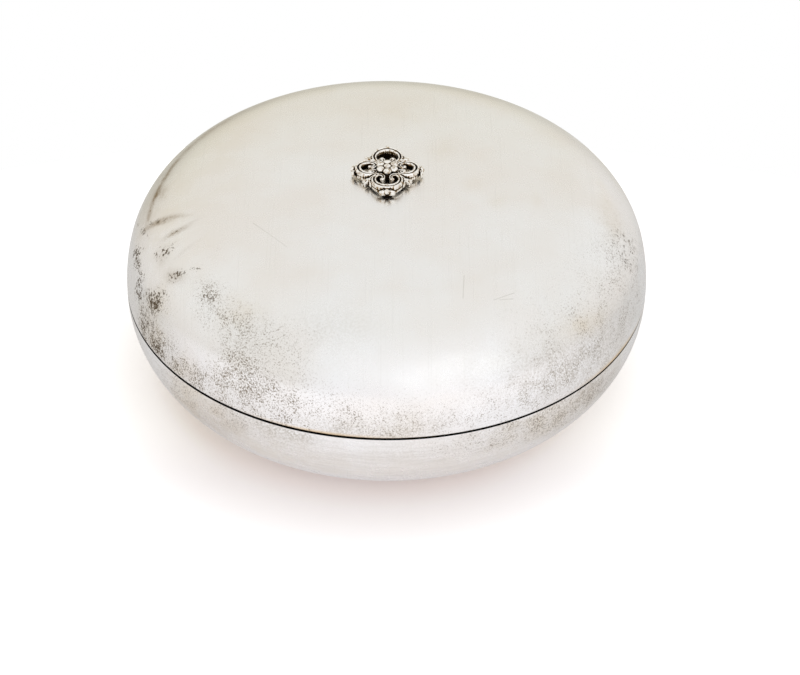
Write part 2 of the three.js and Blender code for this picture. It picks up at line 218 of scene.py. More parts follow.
# Silver, planished and polished, then worn and tarnished by use. A metal with soft, slightly blurred
# reflections and faint rubbed hairlines. Tarnish lies on it as brown-grey specks of under a millimetre,
# in drifts where hands and cloth left it, with a thin warm film between the specks.
def worn_silver(tree, place):
    layers = {kind: add_node(tree, "Attribute", attribute_name=kind).outputs["Fac"] for kind in LAYERS}

    # Drifts of 7 mm break up the edges of each patch. A MapRange reads from socket 1 to 2 and gives
    # from socket 3 to 4.
    drifts = {"Vector": place, "Scale": 1 / (7 * MM), "Detail": 4, "Roughness": 0.6}
    drifts = add_node(tree, "TexNoise", drifts)
    uneven = add_node(tree, "MapRange", {"Value": drifts, 1: 0.36, 2: 0.64, 3: 0.7, 4: 1.3}, **SMOOTH)

    # Fine specks and coarser flecks: the more tarnish, the lower the grain's threshold and the darker
    # each speck. The real specks are finer, and are drawn at 0.42 mm so that they show.
    tarnish = {}
    grains = (("specks", 0.42, 0.6, 0.13, 0.13), ("flecks", 0.85, 0.72, 0.26, 0.07))
    for kind, size, sparse, dense, edge in grains:
        grain = {"Scale": 1 / (size * MM), "Detail": 1.5, "Roughness": 0.6, "Distortion": 0.8}
        grain = add_node(tree, "TexNoise", {"Vector": place, **grain})
        amount = add_node(tree, "Math", {0: layers[kind], 1: uneven}, **CLAMPED)
        least = add_node(tree, "Math", {0: amount, 1: -dense, 2: sparse}, operation="MULTIPLY_ADD")
        most = add_node(tree, "Math", {0: least, 1: edge}, operation="ADD")
        spots = add_node(tree, "MapRange", {"Value": grain, 1: least, 2: most}, **SMOOTH)
        deep = add_node(tree, "Math", {0: amount, 1: 1.15}, **CLAMPED)
        tarnish[kind] = add_node(tree, "Math", {0: spots, 1: deep}, operation="MULTIPLY")
    spotted = add_node(tree, "Math", {0: tarnish["specks"], 1: tarnish["flecks"]}, operation="MAXIMUM")

    # The film and the stains, with the painted reflections that they carry, are mottled, as fine as the
    # specks, the stains less than the film.
    mottle = add_node(tree, "TexNoise", {"Vector": place, "Scale": 1 / (0.6 * MM), "Detail": 1})
    for kind, low, high in (("film", 0.2, 1.5), ("stain_and_reflection", 0.75, 1.2)):
        drifted = add_node(tree, "Math", {0: layers[kind], 1: uneven}, operation="MULTIPLY")
        mottled = add_node(tree, "MapRange", {"Value": mottle, 1: 0.38, 2: 0.62, 3: low, 4: high})
        tarnish[kind] = add_node(tree, "Math", {0: drifted, 1: mottled}, **CLAMPED)
    warmed_and_reflected = add_node(tree, "Math", {0: layers["warmth_and_reflection"], 1: uneven}, **CLAMPED)

    # Rubbed streaks round the bowl: 12 mm long and 0.8 mm deep.
    strokes = {"Vector": place, "Scale": (1 / (12 * MM), 1 / (12 * MM), 1 / (0.8 * MM))}
    strokes = add_node(tree, "Mapping", strokes)
    streaky = add_node(tree, "TexNoise", {"Vector": strokes, "Scale": 1, "Detail": 3, "Roughness": 0.6})
    streaked = add_node(tree, "MapRange", {"Value": streaky, 1: 0.42, 2: 0.66})
    streaked = add_node(tree, "Math", {0: streaked, 1: layers["streaks"]}, operation="MULTIPLY")

    # Clouds of 25 mm, where the polish is a little warmer and duller, and over them each layer, as far as it
    # covers the silver at most: the wear, the painted reflections in the warmth and stain, and the painted
    # shade in the seam. A Mix of colours goes from socket 6 to 7.
    clouds = {"Vector": place, "Scale": 1 / (25 * MM), "Detail": 3, "Roughness": 0.55}
    clouds = add_node(tree, "TexNoise", clouds)
    cloudy = add_node(tree, "MapRange", {"Value": clouds, 1: 0.35, 2: 0.65})
    colour = add_node(tree, "Mix", {0: cloudy, 6: linear("#f3f2ef"), 7: linear("#f0ece6")}, **RGBA)
    for share, most, tint in (
        (streaked, 0.3, "#c9c4bc"),
        (tarnish["film"], 1, "#c2bcb0"),
        # warm patches, and painted reflection of the warm table low on the bowl's front left
        (warmed_and_reflected, 1, "#e9e1d3"),
        # brown stains, and painted reflections: a dark line high on the lid's side, and the warm table low on
        # the bowl
        (tarnish["stain_and_reflection"], 1, "#80642f"),
        (layers["gilt_edge"], 1, "#d8b578"),
        (tarnish["specks"], 0.85, "#7e6f5a"),
        (tarnish["flecks"], 0.95, "#56452c"),
        # near-black painted shade in the seam between the lips
        (layers["seam_shade"], 1, "#0d0b0a"),
    ):
        share = add_node(tree, "Math", {0: share, 1: most}, operation="MULTIPLY")
        colour = add_node(tree, "Mix", {0: share, 6: colour, 7: linear(tint)}, **RGBA)

    # Hairlines: two sets of fine lines, drawn 0.35 mm wide and some 40 mm long, across each other.
    lines = []
    for turn in (24, -61):
        size = (1 / (0.35 * MM), 1 / (40 * MM), 1 / (40 * MM))
        lay = {"Vector": place, "Rotation": (0, 0, radians(turn)), "Scale": size}
        lay = add_node(tree, "Mapping", lay)
        hair = add_node(tree, "TexNoise", {"Vector": lay, "Scale": 1, "Detail": 1})
        lines.append(add_node(tree, "MapRange", {"Value": hair, 1: 0.66, 2: 0.76}))
    hairlines = add_node(tree, "Math", {0: lines[0], 1: lines[1]}, operation="MAXIMUM")

    # A few single scratches on the crown, each a straight line a tenth of a millimetre wide, drawn
    # about a quarter wide so that it shows.
    flat = add_node(tree, "VectorMath", {0: place, 1: (1, 1, 0)}, operation="MULTIPLY")
    scratches = add_node(tree, "Math", {0: hairlines, 1: 0.35}, operation="MULTIPLY")
    for start, end in SCRATCHES:
        along = ((end[0] - start[0]) * MM, (end[1] - start[1]) * MM, 0)
        start = (start[0] * MM, start[1] * MM, 0)
        away = add_node(tree, "VectorMath", {0: flat, 1: start}, operation="SUBTRACT")
        share = add_node(tree, "VectorMath", {0: away, 1: along}, operation="DOT_PRODUCT")
        share = {0: share, 1: along[0] ** 2 + along[1] ** 2}
        share = add_node(tree, "Math", share, operation="DIVIDE", use_clamp=True)
        nearest = add_node(tree, "VectorMath", {0: along, "Scale": share}, operation="SCALE")
        gap = add_node(tree, "VectorMath", {0: away, 1: nearest}, operation="DISTANCE")
        cut = add_node(tree, "MapRange", {"Value": gap, 1: 0.24 * MM, 2: 0.06 * MM})
        scratches = add_node(tree, "Math", {0: cut, 1: scratches}, operation="MAXIMUM")
    scratches = add_node(tree, "Math", {0: scratches, 1: streaky}, operation="MULTIPLY")
    colour = add_node(tree, "Mix", {0: scratches, 6: colour, 7: linear("#d6d3cb")}, **RGBA)

    # Wear blurs the polish, and so does the painted shade in the seam. The hammer left broad shallow dents,
    # 16 mm across.
    rough = add_node(tree, "MapRange", {"Value": drifts, 1: 0.35, 2: 0.65, 3: 0.23, 4: 0.31})
    blurs = ((spotted, 0.25), (hairlines, 0.08), (layers["film"], 0.1), (streaked, 0.08), (layers["seam_shade"], 0.4))
    for share, more in blurs:
        rough = add_node(tree, "Math", {0: share, 1: more, 2: rough}, operation="MULTIPLY_ADD")
    dents = add_node(tree, "TexNoise", {"Vector": place, "Scale": 1 / (16 * MM), "Detail": 1})
    relief = add_node(tree, "Bump", {"Height": dents, "Strength": 0.35, "Distance": 0.05 * MM})
    relief = {"Height": hairlines, "Normal": relief, "Strength": 0.15, "Distance": 0.01 * MM}
    return colour, rough, add_node(tree, "Bump", relief, invert=True)


# Silver gilt: gold laid on the silver by fire and burnished. A pale yellow metal that is a little
# thin and silvery in patches, with the fine rings of the burnisher running round it.
def fire_gilding(tree, place):
    thin = add_node(tree, "TexNoise", {"Vector": place, "Scale": 1 / (9 * MM), "Detail": 4, "Roughness": 0.6})
    rubbed = add_node(tree, "MapRange", {"Value": thin, 1: 0.42, 2: 0.72}, **SMOOTH)
    colour = add_node(tree, "Mix", {0: rubbed, 6: linear("#e9cd92"), 7: linear("#ecd8a8")}, **RGBA)
    # The burnisher's rings, 0.45 mm apart: drawn by the distance from the axis and by height.
    flat = add_node(tree, "VectorMath", {0: place, 1: (1, 1, 0)}, operation="MULTIPLY")
    out = add_node(tree, "VectorMath", {0: flat}, operation="LENGTH")
    height = add_node(tree, "SeparateXYZ", {0: place}).outputs["Z"]
    along = add_node(tree, "CombineXYZ", {0: out, 1: height})
    rings = add_node(tree, "TexNoise", {"Vector": along, "Scale": 1 / (0.45 * MM), "Detail": 2})
    rough = add_node(tree, "MapRange", {"Value": rings, 1: 0.3, 2: 0.7, 3: 0.24, 4: 0.31})
    return colour, rough, add_node(tree, "Bump", {"Height": rings, "Strength": 0.12, "Distance": 0.02 * MM})


silver = metal("worn_polished_silver", worn_silver)
gilding = metal("burnished_fire_gilding", fire_gilding)

side_centre = (SHELL_RADIUS - BOWL_SIDE_RADIUS, BOWL_MOUTH - LIP_ROUND)
side_sine = sin(radians(BOWL_SIDE_ANGLE))
belly_radius = (side_centre[1] - BOWL_SIDE_RADIUS * side_sine) / (1 - side_sine)
belly_centre = (
    side_centre[0] + (BOWL_SIDE_RADIUS - belly_radius) * cos(radians(BOWL_SIDE_ANGLE)),
    belly_radius,
)
ring_outer = belly_centre[0]
ring_inner = ring_outer - STANDING_RING_WIDTH
dome_radius = (ring_inner**2 + PUSHED_UP**2) / (2 * PUSHED_UP)
dome_centre = (0, PUSHED_UP - dome_radius)
dome_end = degrees(acos(ring_inner / dome_radius))

bowl_outside = (
    bend(belly_centre, belly_radius, -90, -BOWL_SIDE_ANGLE, OUTSIDE_STEP)
    + bend(side_centre, BOWL_SIDE_RADIUS, -BOWL_SIDE_ANGLE, 0, OUTSIDE_STEP)
    + bend((SHELL_RADIUS - LIP_ROUND, side_centre[1]), LIP_ROUND, 0, 90, LIP_STEP)
)
bowl_underside = bend(dome_centre, dome_radius, 90, dome_end, BOTTOM_STEP) + [
    (ring_inner + 0.5 * k, 0) for k in range(1, 2 * STANDING_RING_WIDTH)
]
bowl_inside = (
    bend((SHELL_RADIUS - SHEET + INNER_CORNER, BOWL_MOUTH - INNER_CORNER), INNER_CORNER, 90, 180, CORNER_STEP)
    + bend(side_centre, BOWL_SIDE_RADIUS - SHEET, 0, -BOWL_SIDE_ANGLE, INSIDE_STEP)
    + bend(belly_centre, belly_radius - SHEET, -BOWL_SIDE_ANGLE, -90, INSIDE_STEP)
    + bend(dome_centre, dome_radius + SHEET, dome_end, 90, BOTTOM_STEP)
)
bowl_inside[-1] = (0, PUSHED_UP + SHEET)
bowl_underside[0] = (0, PUSHED_UP)
bowl = turned("bowl", [(bowl_underside + bowl_outside, 0), (bowl_inside, 1)], (silver, gilding), SHELL_AROUND)

on_bowl = places_on(bowl, bowl_outside[::-1] + bowl_underside[::-1])
paint_marks(bowl, on_bowl, "specks", [
    (-121.6, 1.5, 6.6, 3.9, -13, 0.4), (-45.5, 7.7, 11.5, 6.8, 20, 0.5), (-55.8, 5.7, 10, 4.9, 20, 0.4),
    (-65.6, 5.9, 11.3, 4.4, 12, 0.45), (-75.5, 6.8, 9.2, 3.8, 10, 0.3), (-37.6, 4.4, 7.6, 4.2, 15, 0.5),
    (-142, 6, 14, 9, -40, 0.45), (-134, 7, 12, 7, -20, 0.4), (-114, 7, 14, 5, 0, 0.3),
    (-52, 5, 22, 6, 8, 0.35), (15, 8, 20, 6, 5, 0.4), (95, 6, 26, 5, -4, 0.45), (150, 9, 16, 6, 8, 0.5),
])
paint_marks(bowl, on_bowl, "film", [
    (-136, 8, 12, 6, -48, 0.45), (-111, 2.2, 8, 2.6, -2, 0.5), (-87, 5.8, 9, 4, 3, 0.15),
    (-61, 3.5, 8, 3.5, 19, 0.25), (-122.3, 8.3, 10, 5.1, -6, 0.1), (-108.3, 10.4, 12.4, 5.1, -6, 0.2),
    (-50, 6, 22, 8, 8, 0.6), (40, 12, 26, 7, 4, 0.3), (120, 10, 30, 7, -6, 0.3), (-170, 12, 18, 7, 5, 0.3),
])
paint_marks(bowl, on_bowl, "streaks", [(0, 14, 1e4, 22, 0, 1), (0, 70, 1e4, 30, 0, 0.6)])
# The stain and the strong warmth low on the bowl's front left are painted reflection of the warm shade on the
# table beside it.
paint_marks(bowl, on_bowl, "stain_and_reflection", [(-132, 13, 13, 6, -30, 0.2), (-41, 3, 9, 4, 20, 0.15)])
paint_marks(bowl, on_bowl, "warmth_and_reflection", [
    (-100, 20, 60, 9, 0, 0.35), (-136, 8.8, 16, 8, -52, 0.8), (-122, 15, 16, 7, 0, 0.4),
    (-55, 6, 20, 8, 5, 0.4), (80, 20, 60, 9, 0, 0.35),
])
# Painted shade in the seam between the two lips, where the lid's lip keeps the light off the bowl's: near
# black, from 6 degrees round the bowl's lip at the front left, to 54 at the back.
lit_to = SEAM_SHADE_FROM - SEAM_SHADE_SWING * np.cos(np.radians(on_bowl["clock"] - SEAM_SHADE_CLOCK))
on_lip = on_bowl["radius"] > SHELL_RADIUS - SHEET + 0.2
paint(bowl, "seam_shade", np.clip((round_lip(on_bowl, side_centre[1]) - lit_to) / SEAM_SHADE_FADE, 0, 1) * on_lip)
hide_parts("base_bowl")
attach(bowl, "base")

# --------------------------------
# The bowl's mouth. A flat band of gilt silver is soldered inside the mouth to stiffen it, and a
# taller collar is soldered inside the band. It stands above the mouth, drawn in at the top, and
# guides the lid.
# --------------------------------
EDGE_BREAK = 0.12
SOLDER_GAP = 0.25
COLLAR_THICKNESS = 0.9
COLLAR_DRAWN_IN = 0.5


def strip(name, corners, around=256):
    """A flat strip bent round and soldered into a ring. Its corners are broken with a file."""
    outline = []
    for i, corner in enumerate(corners):
        here = np.array(corner)
        toward = []
        for end in (corners[i - 1], corners[(i + 1) % len(corners)]):
            side = np.array(end) - here
            toward.append(side / np.linalg.norm(side) * EDGE_BREAK)
        for step in (toward[0], 0.3 * (toward[0] + toward[1]), toward[1]):
            outline.append(tuple(here + step))
    return turned(name, [(outline, 0)], (gilding,), around, closed=True)


def flat_band(name, inner, solid):
    """A plain band of this inner radius, as wide outside and as high as its solid."""
    low, high = (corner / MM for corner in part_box(solid))
    return strip(name, [(inner, low[2]), (high[0], low[2]), (high[0], high[2]), (inner, high[2])])


collar_low, collar_high = (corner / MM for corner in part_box("base_collar"))
collar_outer = collar_high[0]
collar_inner = collar_outer - COLLAR_THICKNESS

mouth_band = flat_band("mouth_band", collar_outer + SOLDER_GAP, "base_rim_band")
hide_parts("base_rim_band")
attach(mouth_band, "base")

collar = strip("lid_collar", [
    (collar_inner, collar_low[2]),
    (collar_outer, collar_low[2]),
    (collar_outer, collar_high[2] - 2 * COLLAR_DRAWN_IN),
    (collar_outer - COLLAR_DRAWN_IN, collar_high[2]),
    (collar_inner - COLLAR_DRAWN_IN / 4, collar_high[2]),
    (collar_inner, collar_high[2] - COLLAR_DRAWN_IN),
])
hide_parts("base_collar")
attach(collar, "base")

# --------------------------------
# The lid. Raised like the bowl from one disc of silver, in three sweeps: an almost upright side, a
# tight shoulder and a wide low crown. Two holes are drilled in the crown for the ornament's pins.
# Most of the tarnish is round its shoulder, where the cloth pressed less.
# --------------------------------
SEAT_GAP = 0.3
LID_RISE = 36.3
LID_SIDE_RADIUS = 47
LID_SIDE_ANGLE = 14
SHOULDER_RADIUS = 0.78 * LID_RISE
PIN_RADIUS = 1
PIN_HOLE_RADIUS = 1.3
FEET_APART = 20.27
LID_STEP = 0.9
# Where the painted shade under the lid's lip begins, in degrees down round the lip, and how it fades.
LID_SEAM_SHADE_FROM, LID_SEAM_SHADE_FADE = 50, 12

lid_mouth = BOWL_MOUTH + SEAT_GAP
lid_side_centre = (SHELL_RADIUS - LID_SIDE_RADIUS, lid_mouth + LIP_ROUND)
lid_turn = radians(LID_SIDE_ANGLE)
shoulder_centre = (
    lid_side_centre[0] + (LID_SIDE_RADIUS - SHOULDER_RADIUS) * cos(lid_turn),
    lid_side_centre[1] + (LID_SIDE_RADIUS - SHOULDER_RADIUS) * sin(lid_turn),
)
crown_top = lid_mouth + LID_RISE
crown_drop = crown_top - shoulder_centre[1]
crown_radius = shoulder_centre[0] ** 2 + crown_drop**2 - SHOULDER_RADIUS**2
crown_radius /= 2 * (crown_drop - SHOULDER_RADIUS)
crown_centre = (0, crown_top - crown_radius)
shoulder_end = degrees(atan2(shoulder_centre[1] - crown_centre[1], shoulder_centre[0]))


def finished(piece):
    """Makes the result of a piece's modifiers its mesh."""
    result = bpy.data.meshes.new_from_object(piece.evaluated_get(bpy.context.evaluated_depsgraph_get()))
    piece.modifiers.clear()
    piece.data = result


def lid_sweeps(inwards, spacing):
    """The lid's three sweeps from the side up to the axis, moved inwards by a thickness."""
    return (
        bend(lid_side_centre, LID_SIDE_RADIUS - inwards, 0, LID_SIDE_ANGLE, spacing)
        + bend(shoulder_centre, SHOULDER_RADIUS - inwards, LID_SIDE_ANGLE, shoulder_end, spacing)
        + bend(crown_centre, crown_radius - inwards, shoulder_end, 90, spacing)[:-1]
        + [(0, crown_top - inwards)]
    )


lid_lip = bend((SHELL_RADIUS - LIP_ROUND, lid_mouth + LIP_ROUND), LIP_ROUND, -90, 0, LIP_STEP)
lid_outside = lid_lip + lid_sweeps(0, LID_STEP)
lid_inside = lid_sweeps(SHEET, INSIDE_STEP)[::-1] + bend(
    (SHELL_RADIUS - SHEET + INNER_CORNER, lid_mouth + INNER_CORNER), INNER_CORNER, 180, 270, CORNER_STEP
)
lid = turned("lid", [(lid_inside, 1), (lid_outside, 0)], (silver, gilding), SHELL_AROUND)

for side in (-1, 1):
    hole_at = (0, side * FEET_APART / 2 * MM, crown_top * MM)
    bpy.ops.mesh.primitive_cylinder_add(radius=PIN_HOLE_RADIUS * MM, depth=6 * MM, location=hole_at)
    drill = bpy.context.object
    hole = lid.modifiers.new("pin_hole", "BOOLEAN")
    hole.operation, hole.solver, hole.object = "DIFFERENCE", "EXACT", drill
    lid.modifiers.new("no_slivers", "WELD").merge_threshold = 0.001 * MM
    finished(lid)
    bpy.data.objects.remove(drill)
lid.data.set_sharp_from_angle(angle=CREASE)

on_lid = places_on(lid, lid_outside)
paint_marks(lid, on_lid, "specks", [
    (-152.2, 15.7, 5.5, 4.1, 26, 0.45), (-151.5, 7.6, 7, 5.7, 78, 0.4), (-147.3, 4.1, 7.5, 4.1, 48, 0.56),
    (-140.2, 4.1, 6, 3.7, 24, 0.56), (-134.8, 3, 5.3, 3.2, 7, 0.59), (-130.6, 3.6, 3.9, 2.3, 46, 0.31),
    (-158.4, 31.6, 2.6, 1.3, 28, 0.31), (-145.9, 39.7, 4.8, 0.9, -85, 0.22),
    (-135.3, 28.8, 4.3, 3.2, 8, 0.46), (-134.3, 22.2, 2.9, 1.5, -57, 0.31),
    (-140.8, 31.3, 5.1, 1.5, 21, 0.19), (-124.5, 28.4, 3.9, 2.9, 10, 0.31),
    (-122.3, 22.4, 5.8, 3.4, 19, 0.34), (-111.7, 28.7, 7.1, 4.1, 12, 0.25), (-115.4, 23.7, 5.5, 4, 14, 0.19),
    (-124.7, 7, 7.1, 4.5, 85, 0.59), (-121.4, 15.2, 6.8, 4.1, 24, 0.37), (-117.3, 8.6, 7.4, 5.1, 79, 0.46),
    (-110.6, 10.7, 7.6, 4.3, 90, 0.31), (-117, 15.1, 8.7, 7.4, 41, 0.22), (-107.7, 3.8, 5.9, 3.5, 5, 0.31),
    (-99.4, 7.9, 9.8, 4.5, 9, 0.22), (-92.8, 6.7, 6.2, 4.6, 5, 0.37), (-88.1, 4.8, 5.7, 4.1, -2, 0.4),
    (-82, 6.3, 6.3, 4, -9, 0.22), (-74.7, 6.9, 9.1, 4.6, -14, 0.12), (-13.3, 26.3, 9.6, 6.6, -18, 0.22),
    (-29, 26.6, 12.2, 7.2, -20, 0.15), (-20.1, 11.8, 8, 6, -35, 0.3), (-39.9, 18.5, 11.4, 3.8, -28, 0.25),
    (-44.8, 9.5, 17.2, 8.4, -22, 0.15), (-32.4, 8.5, 9.7, 7.3, -24, 0.25), (-52.1, 4.8, 11.2, 6.1, -14, 0.12),
    (-56.5, 22.4, 11.6, 8.8, 67, 0.15), (-65.9, 7.9, 12.7, 6, -11, 0.19), (4, 10, 16, 7, 12, 0.37),
    (38, 7, 18, 5, -6, 0.31), (70, 14, 20, 8, 10, 0.28), (112, 8, 18, 6, 4, 0.43),
    (140, 20, 14, 7, -20, 0.31), (168, 9, 15, 7, 15, 0.43), (-152, 12, 6.5, 5, 20, 0.5),
    (-145.5, 3.4, 14, 4, 0, 0.75), (-138.5, 3, 8, 4, 0, 0.8), (-120, 21.9, 13, 7, -9, 0.22),
    (-124.9, 9, 9, 5.5, 85, 0.6), (-119.5, 6.5, 13, 7, 10, 0.5), (-108, 6, 12, 7, 9, 0.35),
    (-89, 4, 26, 4.5, 0, 0.2), (-99, 9, 12, 5, 8, 0.2), (-43, 14, 20, 12, 12, 0.22),
    (-24, 26.7, 20, 9, 1, 0.2), (-48, 6, 24, 9, -8, 0.16), (-66, 3.5, 20, 6, -2, 0.2),
    (-27.2, 12, 18, 9, 20, 0.2), (-12.5, 20.5, 6, 4, -8, 0.4), (-152.5, 7.5, 8, 4, 82, 0.65),
    (-135.5, 28, 5.5, 4, 0, 0.6), (-127, 25, 8, 4.5, -10, 0.4),
])
paint_marks(lid, on_lid, "flecks", [
    (-167.9, 17.1, 4, 2, 2, 1), (-161.2, 16.7, 2.4, 1.4, 20, 1), (-160.8, 11.9, 3.6, 1.7, 54, 1),
    (-160.2, 25.7, 2.9, 1.6, -5, 0.7), (-158.6, 28.4, 2.1, 1.2, 16, 1), (-149.8, 25.8, 1.9, 1.4, 0, 0.8),
    (-149.2, 28.6, 1.7, 0.9, 23, 0.7), (-146.3, 32.2, 2.9, 0.6, 52, 0.6), (-177.7, 20.4, 4.1, 1.1, 29, 0.6),
    (-171, 24.1, 2.9, 0.9, 32, 0.5), (-168.5, 20.8, 3.2, 0.9, 33, 0.6), (-135.7, 28.9, 3.2, 2.4, 10, 0.4),
    (-115.5, 16.3, 2.4, 0.6, 79, 0.7), (-15.5, 25.5, 9.5, 6, -8, 0.5), (-11.5, 21, 4.8, 3.6, -10, 0.65),
    (-19.7, 12.5, 6.6, 5.8, 41, 0.45), (-169.5, 17.8, 3, 1.4, 23, 0.9), (-165.5, 17.5, 2.8, 1.5, 13, 0.9),
    (-161.3, 14.8, 3, 1.6, 30, 0.9), (-158.5, 12.5, 2.2, 1.2, 52, 0.9), (-171.5, 23.3, 3.4, 1.1, 18, 0.4),
    (-157.6, 31.6, 2.6, 1.5, -1, 0.45), (-153.7, 17, 6.8, 1.7, 32, 0.85), (-152.1, 13.5, 4.8, 3, 31, 0.9),
    (-152.8, 6.6, 6.5, 4.2, 25, 1), (-152.6, 10.6, 4, 2.8, 60, 0.85), (-146.5, 3, 7, 2.6, 12, 0.8),
    (-139.5, 2.8, 8, 2.6, 0, 0.6), (-135.5, 28, 4.6, 3.2, 0, 0.45), (-127, 25, 5, 3, -10, 0.3),
    (-124.9, 8, 6, 3.4, 85, 0.45), (-115, 10, 6, 4, 85, 0.35), (-172.2, 27.6, 3.4, 1, 65, 0.7),
    (-169, 32.5, 3.2, 0.8, 62, 0.5), (-162.3, 33.8, 2.6, 1, 77, 0.75), (-145.8, 32.5, 3.8, 1.1, 55, 0.35),
    (-88.5, 4.6, 6, 3.4, 0, 0.3), (100, 12, 5, 3, 20, 0.6), (160, 16, 6, 3, -15, 0.6),
    (30, 18, 4, 2, 10, 0.5),
])
paint_marks(lid, on_lid, "film", [
    (-124.5, 28.4, 3.9, 2.9, 10, 0.15), (-122.3, 22.4, 6.5, 3.4, 19, 0.15), (-122, 8, 11, 7, 15, 0.2),
    (-151, 10.5, 7.5, 5.5, 82, 0.1), (-143, 3, 16, 4.5, 5, 0.15), (-46, 8, 22, 9, -8, 0.4),
    (-86, 3.6, 8, 3.4, -3, 0.5), (-100.3, 3, 7, 2.4, 0, 0.4), (-103.6, 31.9, 9, 7, 4, 0.13),
    (-33.4, 7.6, 6.5, 4.5, -48, 0.2), (-9.7, 31.5, 5.5, 3.6, 10, 0.22), (110, 10, 22, 9, 5, 0.25),
    (20, 12, 18, 8, 5, 0.3), (160, 19, 30, 11, -6, 0.24),
])
paint_marks(lid, on_lid, "warmth_and_reflection", [
    (-150, 36, 18, 7, 0, 0.25), (160, 46, 22, 8, 0, 0.4), (-172, 31, 14, 7, 0, 0.5),
    (-151, 9.5, 9, 7, 82, 0.9), (-125, 12, 9, 6, 80, 0.25), (-88.5, 5, 8, 5, 0, 0.3),
    (-6.1, 74.4, 3, 2.2, 0, 0.3), (-19.1, 66.6, 2.8, 2, 10, 0.3), (-11.4, 55.2, 3.6, 1.2, 8, 0.3),
    (42.8, 78.3, 4.4, 3, -46, 0.3), (84.9, 63.9, 7, 6, 85, 0.3), (1.6, 34.3, 6.5, 2, 6, 0.4),
    (-9, 31, 6, 4, 10, 0.4), (-127.4, 29.9, 5.5, 3.5, 11, 0.5), (-138.8, 3.1, 6.5, 3.2, 36, 0.6),
    (-41, 19.3, 6.5, 2.4, -14, 0.7), (90, 9, 30, 7, 0, 0.25),
])
# A thin brown line high on the side, a painted reflection of a dark edge of the tent, drawn as the upper edge
# of a faint film, and short dashes in line with it.
paint_marks(lid, on_lid, "stain_and_reflection", [
    (134, 35.4, 9, 2.6, -6, 0.2), (145.5, 33.9, 8, 2, -7, 0.3), (157, 31.8, 7.5, 1.3, -7, 0.42),
    (167, 30.2, 6.5, 0.8, -8, 0.6), (174.7, 28.5, 5, 0.7, -12, 0.75), (-178.6, 26.4, 4.2, 0.6, -13, 0.65),
    (170, 27, 17, 4.5, -6, 0.14), (177, 30.3, 4.4, 1.7, 16, 0.25), (-171.1, 28.7, 4.8, 0.7, 68, 0.5),
    (-168.2, 35.6, 3.6, 0.6, 59, 0.3), (-169.2, 31, 2.6, 0.5, 58, 0.4), (-162.1, 34.2, 3, 0.7, 77, 0.6),
    (-162, 39, 2.7, 0.5, -80, 0.2), (-153.5, 33.7, 2.9, 0.5, -89, 0.15), (-158.5, 27, 3, 2, 0, 0.2),
    (-149.5, 26.5, 3, 1.6, 20, 0.3),
])
paint_marks(lid, on_lid, "streaks", [(0, 0, 1e4, 5, 0, 0.3)])
# The gilding of the mouth creeps round the lip and shows coppery where it is rubbed.
gilt_edges = [(-103, 0.5, 13, 0.4, 0, 0.7), (-30, 0.6, 12, 0.6, 0, 0.9), (75, 0.5, 20, 0.4, 0, 0.6)]
paint_marks(lid, on_lid, "gilt_edge", gilt_edges)
# Painted shade under the lid's lip, over the seam: from 50 degrees down round the lip, full 12 degrees
# further.
under_lip = on_lid["height"] < lid_mouth + LIP_ROUND
down = -round_lip(on_lid, lid_side_centre[1])
paint(lid, "seam_shade", np.clip((down - LID_SEAM_SHADE_FROM) / LID_SEAM_SHADE_FADE, 0, 1) * under_lip)
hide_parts("lid_dome")
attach(lid, "lid")

# --------------------------------
# The band inside the lid's mouth. A flat strip of gilt silver, soldered in, that slides over the
# collar with a third of a millimetre to spare.
# --------------------------------
SLIDING_GAP = 0.3

lid_band = flat_band("lid_band", collar_outer + SLIDING_GAP, "lid_rim_band")
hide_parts("lid_rim_band")
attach(lid_band, "lid")

# --------------------------------
# The ornament on the lid. One openwork silver casting, chased and then oxidised: four reeded
# heart-shaped scrolls round a rosette, with sprays of leaves between them. It stands on a middle
# foot and two end feet, and two threaded pins run down through the crown.
# --------------------------------
ROSETTE_RADIUS = 3.6
ROSETTE_HEIGHT = 2.3
SCROLL_RADII = (3.1, 4, 3.1, 4)
SCROLL_SWEEP = 125
CURL_SHARE = 0.3
CURL_SWEEP = 200
STROKE_WIDTH = 2.3
STROKE_HEIGHT = 2.6
STROKE_END = 0.5
LEAF_REACH = 10
MELT = 0.3
FOOT_HEIGHT = 0.35
FOOT_RADIUS = 1.6
THREAD_PITCH = 0.4
THREAD_DEPTH = 0.14
CAST_SKIN = 0.13
CAST_CREASE = radians(60)
SKIN_ROUNDS, HOLLOW_ROUNDS = 2, 14
GRID_REACH = 14
CELL = 0.15
BLURS = (5, 11, 17)
ENCLOSED_FROM, ENCLOSED_FULL = 1, 1.5
DEPTH_SHARE, FLANK_SHARE, ENCLOSED_SHARE = 0.025, 0.008, 0.045
HOLLOW_DEPTH = 0.08
PIN_AROUND = 28
PIN_TIP = 0.2
PIN_OXIDE = 0.6

cast_low, cast_high = (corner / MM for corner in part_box("ornament"))
casting_back = crown_top + SEAT_GAP + FOOT_HEIGHT
pieces = []


def polar(angle, distance):
    return np.array([cos(angle), sin(angle)]) * distance


def bar(stations, section):
    """A closed bar. Each station is its place, heading, width and height, and the section's shares of
    those are set square to it."""
    vertices = []
    for place, heading, width, height in stations:
        across = polar(heading + pi / 2, 1)
        vertices += [(*(place + across * u * width), max(0, v * height)) for u, v in section]
    n, count = len(section), len(stations)
    faces = []
    for i in range(0, (count - 1) * n, n):
        faces += [(i + j, i + (j + 1) % n, i + n + (j + 1) % n, i + n + j) for j in range(n)]
    faces += [tuple(range(n))[::-1], tuple((count - 1) * n + j for j in range(n))]
    pieces.append((np.array(vertices), faces))


